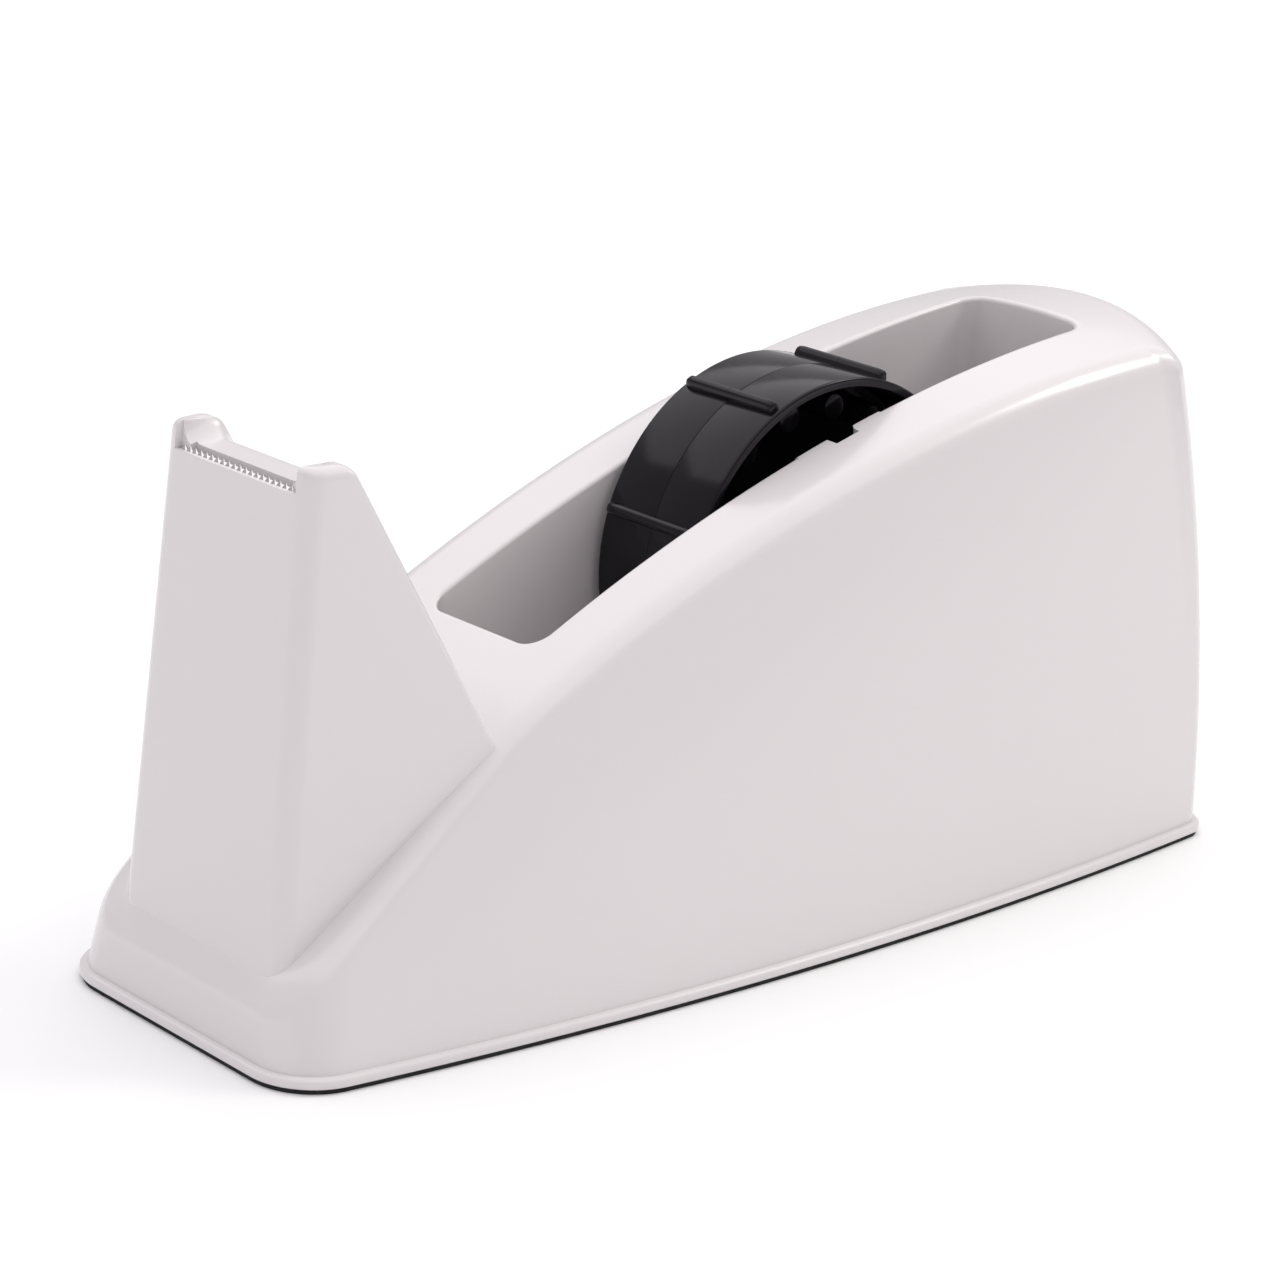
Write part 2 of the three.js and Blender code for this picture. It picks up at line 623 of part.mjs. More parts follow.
function tray() {
  const plate = planSlab(0, PAD_THICKNESS, BASE_Z);
  const lipInset = FLANGE_LEDGE + WALL + SIDE_DRAFT_FRONT * TRAY_LIP_HEIGHT + GAP;
  const lipTop = BASE_Z + TRAY_LIP_HEIGHT;
  const lip = planSlab(lipInset, BASE_Z - GAP, lipTop)
    .subtract(planSlab(lipInset + RIB_THICKNESS, 0, HEIGHT));
  const fences = unite(['front', 'left', 'right', 'rear'].map(ballastFence));
  const room = screwHoles(BOSS_RADIUS + GAP, BASE_Z, HEIGHT);
  const holes = screwHoles(SCREW_RADIUS + GAP, 0, HEIGHT);
  const recesses = screwHoles(SCREW_HEAD_RADIUS + GAP, 0, SCREW_SEAT_Z, 2 * SMALL_STEPS);
  return unite([plate, lip.add(fences).subtract(room)]).subtract(holes).subtract(recesses);
}

function pad() {
  const holes = screwHoles(SCREW_HEAD_RADIUS + 2 * GAP, -OVERCUT, BASE_Z, 2 * SMALL_STEPS);
  return planSlab(PAD_INSET, 0, PAD_THICKNESS).subtract(holes);
}

function polar(radius, degrees) {
  return [radius * Math.cos(rad(degrees)), radius * Math.sin(rad(degrees))];
}

function hubRib(degrees) {
  const half = HUB_RIB_THICKNESS / 2;
  const base = HUB_RADIUS - HUB_RIM / 2;
  const tip = HUB_RADIUS + HUB_RIB_HEIGHT;
  const outline = [[base, -half], [tip - half / 2, -half], [tip, -half / 2], [tip, half / 2],
    [tip - half / 2, half], [base, half]];
  const turned = outline.map(([r, t]) => {
    const [x, z] = polar(1, degrees);
    return [r * x - t * z, r * z + t * x];
  });
  return prismY(turned, 0, HUB_RIB_LENGTH / 2);
}

// Half of the hub on the +Y side, about the origin, with pins or with the sockets they enter.
function hubHalf(withPins) {
  const bore = (AXLE_RADIUS + AXLE_CLEARANCE) / Math.cos(Math.PI / ROUND_STEPS);
  const end = HUB_WIDTH / 2;
  const rimInner = HUB_RADIUS - HUB_RIM;
  const outline = [[bore, 0], [HUB_RADIUS, 0], [HUB_RADIUS, end - HUB_CHAMFER],
    [HUB_RADIUS - HUB_CHAMFER, end], [rimInner, end], [rimInner, HUB_WEB],
    [HUB_BOSS_RADIUS, HUB_WEB], [HUB_BOSS_RADIUS, HUB_BOSS_HEIGHT], [bore, HUB_BOSS_HEIGHT]];
  let half = turnedY(outline, 2 * ROUND_STEPS);
  for (let i = 0; i < HUB_RIB_COUNT; i += 1) {
    half = half.add(hubRib(HUB_RIB_PHASE + (360 * i) / HUB_RIB_COUNT));
  }
  const pitch = 360 / HUB_STUD_COUNT;
  for (let i = 0; i < HUB_STUD_COUNT; i += 1) {
    const [x, z] = polar(HUB_STUD_CIRCLE, HUB_RIB_PHASE + pitch * (i + 0.5));
    half = half.add(cylinderY(x, z, HUB_STUD_RADIUS, HUB_WEB / 2, HUB_STUD_HEIGHT, SMALL_STEPS));
    const paired = i % HUB_STUDS_PER_PIN === 0;
    if (paired && withPins) {
      half = half.add(cylinderY(x, z, HUB_PIN_RADIUS, -HUB_PIN_LENGTH, HUB_WEB / 2, SMALL_STEPS));
    }
    // The other half turns over onto this one, so its sockets face the pins.
    if (paired && !withPins) {
      const socket = HUB_PIN_RADIUS + GAP;
      half = half.subtract(cylinderY(x, z, socket, -OVERCUT, HUB_PIN_LENGTH + GAP, SMALL_STEPS));
    }
  }
  return half;
}

function axle() {
  const shoulder = HUB_WIDTH / 2 + GAP;
  const end = SLOT_END_Y - GAP;
  return cylinderY(0, 0, AXLE_RADIUS, -shoulder, shoulder)
    .add(cylinderY(0, 0, JOURNAL_RADIUS, -end, end));
}

// ---------------------------------------------------------------- materials and assembly

function finish(color, roughness, metalness) {
  return new THREE.MeshStandardMaterial({ color, roughness, metalness });
}

const WHITE_PLASTIC = [0xe6e1e4, 0.22, 0];
const BLACK_PLASTIC = [0x1b1a1f, 0.25, 0];
const PAD_FOAM = [0x17171a, 0.9, 0];
const CAST_IRON = [0x4b4a49, 0.7, 0.8];
const ZINC_STEEL = [0xb7b9bd, 0.35, 1];
const BLADE_STEEL = [0xcfcdd0, 0.2, 1];

const dispenser = new THREE.Group();
dispenser.position.set(-LENGTH / 2, 0, 0);
const reel = new THREE.Group();
reel.position.set(HUB_X, 0, HUB_HEIGHT);
dispenser.add(reel);

function addPiece(group, name, manifold, look) {
  const mesh = new THREE.Mesh(toGeometry(manifold), finish(...look));
  mesh.name = name;
  group.add(mesh);
}

addPiece(dispenser, 'casing', casing(), WHITE_PLASTIC);
addPiece(dispenser, 'base_tray', tray(), WHITE_PLASTIC);
addPiece(dispenser, 'nonslip_pad', pad(), PAD_FOAM);
addPiece(dispenser, 'cutting_blade', blade(), BLADE_STEEL);
for (const name of ['front', 'left', 'right', 'rear']) {
  addPiece(dispenser, `ballast_${name}`, box(...ballastBox(name)), CAST_IRON);
}
for (const [row, { x, y }] of Object.entries(SCREW_PLACES)) {
  addPiece(dispenser, `screw_${row}_left`, screw(x, y), ZINC_STEEL);
  addPiece(dispenser, `screw_${row}_right`, screw(x, -y), ZINC_STEEL);
}
addPiece(reel, 'hub_half_left', hubHalf(true), BLACK_PLASTIC);
addPiece(reel, 'hub_half_right', hubHalf(false).mirror([0, 1, 0]), BLACK_PLASTIC);
addPiece(reel, 'axle', axle(), BLACK_PLASTIC);

export default dispenser;
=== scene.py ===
import math

import bmesh
import bpy
import numpy as np
from mathutils import Matrix, Vector


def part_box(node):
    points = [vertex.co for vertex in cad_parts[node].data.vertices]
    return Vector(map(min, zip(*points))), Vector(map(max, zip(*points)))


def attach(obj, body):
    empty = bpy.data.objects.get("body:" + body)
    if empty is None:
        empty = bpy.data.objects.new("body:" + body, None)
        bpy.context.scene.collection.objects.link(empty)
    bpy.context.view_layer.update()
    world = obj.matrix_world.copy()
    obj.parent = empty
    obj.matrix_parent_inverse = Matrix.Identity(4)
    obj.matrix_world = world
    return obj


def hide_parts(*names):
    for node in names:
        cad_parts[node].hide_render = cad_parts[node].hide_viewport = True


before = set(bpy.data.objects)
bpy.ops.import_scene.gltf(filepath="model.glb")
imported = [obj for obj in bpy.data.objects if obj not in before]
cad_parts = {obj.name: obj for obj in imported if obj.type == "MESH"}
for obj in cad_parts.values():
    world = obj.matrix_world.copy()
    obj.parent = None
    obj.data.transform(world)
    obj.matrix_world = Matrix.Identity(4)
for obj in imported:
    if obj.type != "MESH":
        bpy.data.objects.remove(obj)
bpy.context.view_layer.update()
MM = 0.001

# ------------------------------------------------------------------ places, from the frame


def box_mm(node):
    low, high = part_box(node)
    return np.array(low) / MM, np.array(high) / MM


TRAY_LOW, TRAY_HIGH = box_mm("base_tray")
CASING_LOW, CASING_HIGH = box_mm("casing")
PAD_TOP = box_mm("nonslip_pad")[1][2]
AXLE_LOW, AXLE_HIGH = box_mm("axle")
BLADE_FOOT = box_mm("cutting_blade")[0][2]

# x runs from the front of the flange in this script; FRONT_X takes it to the frame.
FRONT_X = TRAY_LOW[0]
LENGTH = TRAY_HIGH[0] - TRAY_LOW[0]
WIDTH = TRAY_HIGH[1] - TRAY_LOW[1]
HEIGHT = CASING_HIGH[2]
BASE_Z = CASING_LOW[2]
HUB_X = (AXLE_LOW[0] + AXLE_HIGH[0]) / 2 - FRONT_X
HUB_Z = (AXLE_LOW[2] + AXLE_HIGH[2]) / 2
SLOT_END = AXLE_HIGH[1] + 0.3

# Casing shape, as the frame's casing is drawn.
WIDEST_X, SIDE_RADIUS, REAR_RADIUS = 134, 880, 71
FRONT_CORNER, REAR_CORNER = 13, 6
LEDGE = 1.5
FRONT_DRAFT, REAR_DRAFT = 0.086, 0.015
SIDE_DRAFT_FRONT, SIDE_DRAFT_REAR = 0.233, 0.01
SIDE_BOW, REAR_BOW = 775, 435
RIDGE_FILLET = 4
LIP_HEIGHT, RAMP_ANGLE, RAMP_LENGTH, RAMP_BLEND = 13.4, math.radians(38.8), 64.2, 5
CROWN_X, CROWN_BLEND, CROWN_CAMBER = LENGTH - 2, 97, 5.2
CAMBER_START, REAR_ROLL = 70, 80
WELL_FRONT, WELL_REAR, WELL_WIDTH, WELL_CORNER = 65.6, LENGTH - 33, 28.8, 4
WELL_DRAFT, WELL_FLOOR_RADIUS, WELL_FLOOR = 0.04, 30, 5.3
RIM_FILLET = 0.9
SLOT_LEAN, SLOT_HALF, SLOT_LEAD = math.radians(6.5), 2.9, 2.6
PAD_REACH, PAD_PROUD = 10.5, 0.4

TOWER_TOP, TOWER_FOOT_X, TOWER_FOOT_Z = 102.2, 5.7, 20.2
TOWER_LEAN, TOWER_TOP_LENGTH, TOWER_BACK = 0.074, 8.4, math.radians(61.6)
TOWER_HALF, TOWER_FLARE, TOWER_SIDE_DRAFT = 21.6, 0.1225, 0.0398
TOWER_FRONT_CORNER, TOWER_BACK_CORNER = 4, 1.2
# Roundings of the tower's top edges.
TOP_ROUND_FRONT, TOP_ROUND_SIDE, TOP_ROUND_BACK = 1.2, 2.2, 3.2
TOP_ROUND_DEPTH = 2.7
# Heights that clear everything, for cutting solids.
CUT_TOP, RECESS_CUT_TOP = 110, 130.0


# ------------------------------------------------------------------ meshes


def new_object(name, points, faces, smooth_angle=32.0):
    mesh = bpy.data.meshes.new(name)
    scaled = [((p[0] + FRONT_X) * MM, p[1] * MM, p[2] * MM) for p in points]
    mesh.from_pydata(scaled, [], faces)
    bm = bmesh.new()
    bm.from_mesh(mesh)
    bmesh.ops.remove_doubles(bm, verts=bm.verts, dist=1e-7)
    bmesh.ops.recalc_face_normals(bm, faces=bm.faces)
    bm.to_mesh(mesh)
    bm.free()
    obj = bpy.data.objects.new(name, mesh)
    bpy.context.scene.collection.objects.link(obj)
    smooth(obj, smooth_angle)
    return obj


def smooth(obj, angle=32.0):
    obj.data.shade_smooth()
    obj.data.set_sharp_from_angle(angle=math.radians(angle))


def grid_faces(rows, columns, wrap=True):
    faces = []
    for r in range(rows - 1):
        for c in range(columns if wrap else columns - 1):
            d = (c + 1) % columns
            faces.append((r * columns + c, r * columns + d, (r + 1) * columns + d, (r + 1) * columns + c))
    return faces


def ring_solid(name, rings, smooth_angle=32.0, caps=(0, -1)):
    """Closed solid through rings that have the same number of points. caps are the rings it fills."""
    count = len(rings[0])
    points = [p for ring in rings for p in ring]
    faces = grid_faces(len(rings), count)
    for cap in caps:
        start = cap % len(rings) * count
        points.append(tuple(np.mean(np.array(points[start:start + count]), axis=0)))
        middle = len(points) - 1
        faces += [(start + c, start + (c + 1) % count, middle) for c in range(count)]
    return new_object(name, points, faces, smooth_angle)


def boolean(obj, other, operation, keep=False):
    modifier = obj.modifiers.new("cut", "BOOLEAN")
    modifier.operation = operation
    modifier.object = other
    modifier.solver = "MANIFOLD"
    graph = bpy.context.evaluated_depsgraph_get()
    mesh = bpy.data.meshes.new_from_object(obj.evaluated_get(graph))
    obj.modifiers.clear()
    obj.data = mesh
    if not keep:
        bpy.data.objects.remove(other)
    return obj


def arc_points(cx, cy, radius, start, end, steps):
    return [(cx + radius * math.cos(start + (end - start) * k / steps),
             cy + radius * math.sin(start + (end - start) * k / steps)) for k in range(steps + 1)]


def rounded_outline(corners, radii, steps=6):
    outline = []
    count = len(corners)
    for i, corner in enumerate(corners):
        here = Vector(corner)
        back = (Vector(corners[i - 1]) - here).normalized()
        ahead = (Vector(corners[(i + 1) % count]) - here).normalized()
        if radii[i] <= 0:
            outline.append(tuple(here))
            continue
        half = math.acos(max(-1, min(1, back.dot(ahead)))) / 2
        centre = here + (back + ahead).normalized() * (radii[i] / math.sin(half))
        start = here + back * (radii[i] / math.tan(half)) - centre
        turn = math.pi - 2 * half
        if back.cross(ahead) > 0:
            turn = -turn
        for k in range(steps + 1):
            p = start.copy()
            p.rotate(Matrix.Rotation(turn * k / steps, 2))
            outline.append(tuple(p + centre))
    return outline


# ------------------------------------------------------------------ casing skin

SIDE_CENTRE_Y = WIDTH / 2 - SIDE_RADIUS
REAR_CENTRE_X = LENGTH - REAR_RADIUS
SEGMENTS = (12, 16, 96, 14, 20)
SEGMENT = np.concatenate([np.full(n, i) for i, n in enumerate(SEGMENTS)] + [[4]])
SHARE = np.concatenate([np.arange(n) / n for n in SEGMENTS] + [[1.0]])


def side_draft(x):
    share = np.clip(x / (LENGTH - 2 * REAR_CORNER), 0, 1)
    return SIDE_DRAFT_FRONT - (SIDE_DRAFT_FRONT - SIDE_DRAFT_REAR) * share


def plan(front, rear, side_shift, corner_inset):
    """Half of the plan, front centre to rear centre, with each argument an array over its points."""
    front_r = np.maximum(FRONT_CORNER - corner_inset, 1)
    rear_r = np.maximum(REAR_CORNER - corner_inset, 1)
    fx = front + front_r
    arm = SIDE_RADIUS - side_shift(0) - front_r
    fy = SIDE_CENTRE_Y + np.sqrt(arm ** 2 - (fx - WIDEST_X) ** 2)
    side_arm = SIDE_RADIUS - side_shift(LENGTH) - rear_r
    rear_arm = REAR_RADIUS - rear - rear_r
    dx, dy = REAR_CENTRE_X - WIDEST_X, -SIDE_CENTRE_Y
    span = math.hypot(dx, dy)
    lift = np.arccos((side_arm ** 2 + span ** 2 - rear_arm ** 2) / (2 * side_arm * span))
    rear_join = math.atan2(dy, dx) - lift
    rx = WIDEST_X + side_arm * np.cos(rear_join)
    ry = SIDE_CENTRE_Y + side_arm * np.sin(rear_join)
    front_join = np.arctan2(fy - SIDE_CENTRE_Y, fx - WIDEST_X)
    rear_turn = np.arctan2(ry, rx - REAR_CENTRE_X)
    s = SHARE
    a1 = math.pi + (front_join - math.pi) * s
    a2 = front_join + (rear_join - front_join) * s
    r2 = SIDE_RADIUS - side_shift(WIDEST_X + SIDE_RADIUS * np.cos(a2))
    a3 = rear_join + (rear_turn - rear_join) * s
    a4 = rear_turn * (1 - s)
    r4 = REAR_RADIUS - rear
    x = np.choose(SEGMENT, [front + 0 * s, fx + front_r * np.cos(a1), WIDEST_X + r2 * np.cos(a2),
                            rx + rear_r * np.cos(a3), REAR_CENTRE_X + r4 * np.cos(a4)])
    y = np.choose(SEGMENT, [fy * s, fy + front_r * np.sin(a1), SIDE_CENTRE_Y + r2 * np.sin(a2),
                            ry + rear_r * np.sin(a3), r4 * np.sin(a4)])
    return x, y


def wall_plan(z, inset=0.0):
    shift = LEDGE + inset
    rise = z - BASE_Z
    bow = rise ** 2 / (2 * SIDE_BOW)
    return plan(shift + FRONT_DRAFT * rise, shift + REAR_DRAFT * rise + rise ** 2 / (2 * REAR_BOW),
                lambda x: shift + side_draft(x) * rise + bow, shift + 0 * rise)


RAMP_DX, RAMP_DZ = math.cos(RAMP_ANGLE), math.sin(RAMP_ANGLE)
RAMP_X, RAMP_Z = LEDGE + RAMP_LENGTH * RAMP_DX, LIP_HEIGHT + RAMP_LENGTH * RAMP_DZ
CURVE_T = np.linspace(0, 1, 4001)
CURVE = [(1 - CURVE_T) ** 3 * a + 3 * (1 - CURVE_T) ** 2 * CURVE_T * b + 3 * (1 - CURVE_T) * CURVE_T ** 2 * c
         + CURVE_T ** 3 * d for a, b, c, d in (
             (RAMP_X, RAMP_X + RAMP_BLEND * RAMP_DX, CROWN_X - CROWN_BLEND, CROWN_X),
             (RAMP_Z, RAMP_Z + RAMP_BLEND * RAMP_DZ, HEIGHT, HEIGHT))]


def deck_line(x):
    x = np.asarray(x, float)
    ramp = RAMP_Z - (RAMP_X - x) * math.tan(RAMP_ANGLE)
    curve = np.interp(x, CURVE[0], CURVE[1])
    crown = HEIGHT - (x - CROWN_X) ** 2 / (2 * REAR_ROLL)
    return np.where(x <= RAMP_X, ramp, np.where(x >= CROWN_X, crown, curve))


def deck_height(x, y):
    run = np.maximum(0, x - CAMBER_START) / (CROWN_X - CAMBER_START)
    return deck_line(x) - CROWN_CAMBER * run ** 2 * (y / (WIDTH / 3)) ** 2


def conic(p0, p1, p2, steps, weight=0.73):
    """Rows of a blend from p0 to p2 with its corner at p1. Each is an array of points."""
    rows = []
    for k in range(steps + 1):
        s = k / steps
        w = ((1 - s) ** 2, 2 * weight * s * (1 - s), s ** 2)
        rows.append((w[0] * p0 + w[1] * p1 + w[2] * p2) / sum(w))
    return rows


def well_plan(front, rear, half, corner):
    """Half of the well's outline with the same number of points as the casing's plan."""
    s = SHARE
    a1 = math.pi - math.pi / 2 * s
    a3 = math.pi / 2 * (1 - s)
    x = np.choose(SEGMENT, [front + 0 * s, front + corner + corner * np.cos(a1),
                            front + corner + (rear - front - 2 * corner) * s,
                            rear - corner + corner * np.cos(a3), rear + 0 * s])
    y = np.choose(SEGMENT, [(half - corner) * s, half - corner + corner * np.sin(a1), half + 0 * s,
                            half - corner + corner * np.sin(a3), (half - corner) * (1 - s)])
    return x, y


def well_ends(z):
    front = WELL_FRONT + WELL_DRAFT * (deck_line(WELL_FRONT) - z)
    rear = WELL_REAR - WELL_DRAFT * (HEIGHT - z)
    sink = np.clip(WELL_FLOOR + WELL_FLOOR_RADIUS - z, 0, WELL_FLOOR_RADIUS)
    bow = WELL_FLOOR_RADIUS - np.sqrt(WELL_FLOOR_RADIUS ** 2 - sink ** 2)
    return front + bow, rear - bow


def casing_rows():
    """Rows of the skin from the foot of the wall to the middle of the well's floor."""
    n = len(SHARE)
    ridge_z = np.full(n, HEIGHT / 2)
    for _ in range(60):
        ridge_z = deck_height(*wall_plan(ridge_z))
    ridge = np.stack([*wall_plan(ridge_z), ridge_z], 1)
    top_z = ridge_z - RIDGE_FILLET
    wall_top = np.stack([*wall_plan(top_z), top_z], 1)
    dx, dy = wall_plan(ridge_z, RIDGE_FILLET)
    deck_edge = np.stack([dx, dy, deck_height(dx, dy)], 1)
    rows = []
    for k in range(18):
        z = BASE_Z + (top_z - BASE_Z) * k / 18
        rows.append(np.stack([*wall_plan(z), z], 1))
    rows += conic(wall_top, ridge, deck_edge, 14)
    front, rear = WELL_FRONT, WELL_REAR
    half = WELL_WIDTH / 2
    ex, ey = well_plan(front - RIM_FILLET, rear + RIM_FILLET, half + RIM_FILLET, WELL_CORNER + RIM_FILLET)
    for share in np.linspace(0, 1, 17)[1:-1]:
        x, y = dx + (ex - dx) * share, dy + (ey - dy) * share
        rows.append(np.stack([x, y, deck_height(x, y)], 1))
    cx, cy = well_plan(front, rear, half, WELL_CORNER)
    cz = deck_height(cx, cy)
    rim = np.stack([ex, ey, deck_height(ex, ey)], 1)
    rows += conic(rim, np.stack([cx, cy, cz], 1), np.stack([cx, cy, cz - RIM_FILLET], 1), 7)
    start = cz - RIM_FILLET
    for k in range(1, 17):
        z = start + (WELL_FLOOR + WELL_FLOOR_RADIUS - start) * k / 16
        x, y = well_plan(*well_ends(z), half, WELL_CORNER)
        rows.append(np.stack([x, y, z], 1))
    for k in range(1, 13):
        sink = WELL_FLOOR_RADIUS * math.sin(math.pi / 2 * k / 12)
        z = np.full(n, WELL_FLOOR + WELL_FLOOR_RADIUS - sink)
        x, y = well_plan(*well_ends(z), half, WELL_CORNER)
        rows.append(np.stack([x, y, z], 1))
    return rows


def mirrored_rings(rows):
    rings = []
    for row in rows:
        back = row[1:-1][::-1] * np.array([1, -1, 1])
        rings.append([tuple(p) for p in np.concatenate([row, back])])
    return rings


def slot_place(x, y, z):
    """From the axle's frame, whose z runs up the slots, to the casing's."""
    c, s = math.cos(SLOT_LEAN), math.sin(SLOT_LEAN)
    return (HUB_X + x * c - z * s, y, HUB_Z + x * s + z * c)


def slot_prism(name, outline, z0, z1):
    points = [slot_place(x, y, z) for z in (z0, z1) for x, y in outline]
    n = len(outline)
    faces = grid_faces(2, n) + [tuple(range(n)), tuple(range(n, 2 * n))]
    return new_object(name, points, faces)


def deck_along_slot(x, y):
    """How far up the slot's direction the deck lies, at a place in the axle's frame."""
    z = 25.0
    for _ in range(30):
        place = slot_place(x, y, z)
        z += float(deck_height(place[0], y)) - place[2]
    return z


def slot_bed(side):
    """The raised flat round one slot, with its own rounded top edge."""
    face = WELL_WIDTH / 2 - PAD_PROUD
    edge, root = 0.8, WELL_WIDTH / 2 + 1.3
    rings = []
    for x in np.linspace(-PAD_REACH, PAD_REACH, 25):
        ring = [(root, -PAD_REACH), (face, -PAD_REACH)]
        for k in range(9):
            a = math.pi / 2 * k / 8
            y = face + edge * (1 - math.cos(a))
            ring.append((y, deck_along_slot(x, side * y) - edge * (1 - math.sin(a))))
        ring.append((root, deck_along_slot(x, side * root) - 0.04))
        rings.append([slot_place(x, side * y, z) for y, z in ring])
    return ring_solid("bed", rings)


def slot_groove(side):
    inner = WELL_WIDTH / 2 - PAD_PROUD
    outline = [(-SLOT_HALF, 2), (-SLOT_HALF, SLOT_END), (SLOT_HALF, SLOT_END)]
    outline += arc_points(SLOT_HALF + SLOT_LEAD, inner + SLOT_LEAD, SLOT_LEAD, math.pi, 1.5 * math.pi, 10)
    outline += [(SLOT_HALF + SLOT_LEAD + 0.01, 2)]
    upright = slot_prism("groove", [(x, side * y) for x, y in outline], 0, 70)
    loop = [(SLOT_HALF * math.cos(a), SLOT_HALF * math.sin(a)) for a in np.linspace(0, 2 * math.pi, 49)[:-1]]
    bottom = ring_solid("groove_end", [[slot_place(x, side * y, z) for x, z in loop] for y in (2, SLOT_END)])
    return boolean(upright, bottom, "UNION")


def make_casing():
    skin = ring_solid("casing_skin", mirrored_rings(casing_rows()))
    for side in (1, -1):
        boolean(skin, slot_bed(side), "UNION")
        boolean(skin, slot_groove(side), "DIFFERENCE")
    return skin


# ------------------------------------------------------------------ tower


def tower_front(z):
    return TOWER_FOOT_X + TOWER_LEAN * (z - TOWER_FOOT_Z)


def tower_back(z):
    return tower_front(TOWER_TOP) + TOWER_TOP_LENGTH + (TOWER_TOP - z) / math.tan(TOWER_BACK)


def tower_half(x, z):
    return TOWER_HALF + TOWER_FLARE * x - TOWER_SIDE_DRAFT * (z - TOWER_FOOT_Z)



def tower_ring(z):
    """Outline at height z, drawn in near the top to round its edges."""
    def rounded(radius):
        low = TOWER_TOP - radius
        return radius - math.sqrt(max(radius ** 2 - max(z - low, 0) ** 2, 0))
    front = tower_front(z) + rounded(TOP_ROUND_FRONT)
    roll = TOP_ROUND_BACK
    knee = tower_back(TOWER_TOP) - roll * math.tan(TOWER_BACK / 2)
    back = tower_back(z)
    if z > TOWER_TOP - roll * (1 - math.cos(TOWER_BACK)):
        back = knee + math.sqrt(max(roll ** 2 - (z - TOWER_TOP + roll) ** 2, 0))
    side = rounded(TOP_ROUND_SIDE)
    fy, by = tower_half(front, z) - side, tower_half(back, z) - side
    corners = [(front, -fy), (back, -by), (back, by), (front, fy)]
    front_radius = TOWER_FRONT_CORNER - side * 0.6
    radii = [front_radius, TOWER_BACK_CORNER, TOWER_BACK_CORNER, front_radius]
    flat = rounded_outline(corners, radii, 12)
    return [(x, y, z) for x, y in flat]


PLATFORM_Z, PLATFORM_X = 98.6, 13.9
PLATFORM_RISE, PLATFORM_END = math.radians(8.7), math.radians(55)
PLATFORM_KNEE, PLATFORM_ROLL = 17.6, 3.0
CHEEK_Y, CHEEK_EDGE, CHEEK_RADIUS, CHEEK_GROWTH = 16.3, 0.8, 3.2, 2.4
TROUGH_HALF, TEETH_HALF = 14.0, 16.5


def platform_height(x):
    """Side profile of the platform between the cheeks: a slight rise, a roll-over and a run-out."""
    rise, end, roll, knee_x = PLATFORM_RISE, PLATFORM_END, PLATFORM_ROLL, PLATFORM_KNEE
    knee_z = PLATFORM_Z + (knee_x - PLATFORM_X) * math.tan(rise)
    if x <= knee_x:
        return PLATFORM_Z + max(x - PLATFORM_X, -2.0) * math.tan(rise)
    span = roll * (math.sin(end) + math.sin(rise))
    if x <= knee_x + span:
        turn = math.asin((x - knee_x) / roll - math.sin(rise))
        return knee_z + roll * (math.cos(turn) - math.cos(rise))
    low = knee_z + roll * (math.cos(end) - math.cos(rise))
    return low - (x - knee_x - span) * math.tan(end)


def recess_solid():
    """What is cut from the tower's top: the platform, rising in a hollow curve to each cheek."""
    rings = []
    for x in [7, 11] + list(np.linspace(13, 23, 41)) + list(np.linspace(23.6, 38, 24)):
        base = platform_height(x)
        share = min(max((x - 12) / 7, 0), 1)
        radius = CHEEK_RADIUS + CHEEK_GROWTH * share
        climb = min(TOWER_TOP - 0.35 - base, radius * 0.97)
        reach = math.sqrt(radius ** 2 - (radius - climb) ** 2)
        foot = CHEEK_Y - reach
        half = [(foot * k / 6, base) for k in range(6)]
        for k in range(13):
            a = math.asin(reach / radius) * k / 12
            half.append((foot + radius * math.sin(a), base + radius * (1 - math.cos(a))))
        end_a = math.asin(reach / radius)
        edge = CHEEK_EDGE
        cy, cz = CHEEK_Y + edge * math.sin(end_a), base + climb - edge * math.cos(end_a)
        extra = max(TOWER_TOP + 0.03 - (cz + edge), 0)
        for k in range(1, 9):
            a = end_a * (1 - k / 8)
            half.append((cy - edge * math.sin(a), cz + extra + edge * math.cos(a)))
        half += [(22.0, half[-1][1]), (22.0, RECESS_CUT_TOP)]
        loop = [(x, y, z) for y, z in half] + [(x, 0.0, RECESS_CUT_TOP)]
        loop += [(x, -y, z) for y, z in half[::-1][:-1]]
        rings.append(loop)
    return ring_solid("recess", rings)


def face_box(name, x0, x1, half, z0, z1):
    """Box along the tower's front face: x runs inward from it."""
    points = [(tower_front(z) + x, y, z) for z in (z0, z1) for x, y in
              ((x0, -half), (x1, -half), (x1, half), (x0, half))]
    return new_object(name, points, grid_faces(2, 4) + [(0, 1, 2, 3), (4, 5, 6, 7)])


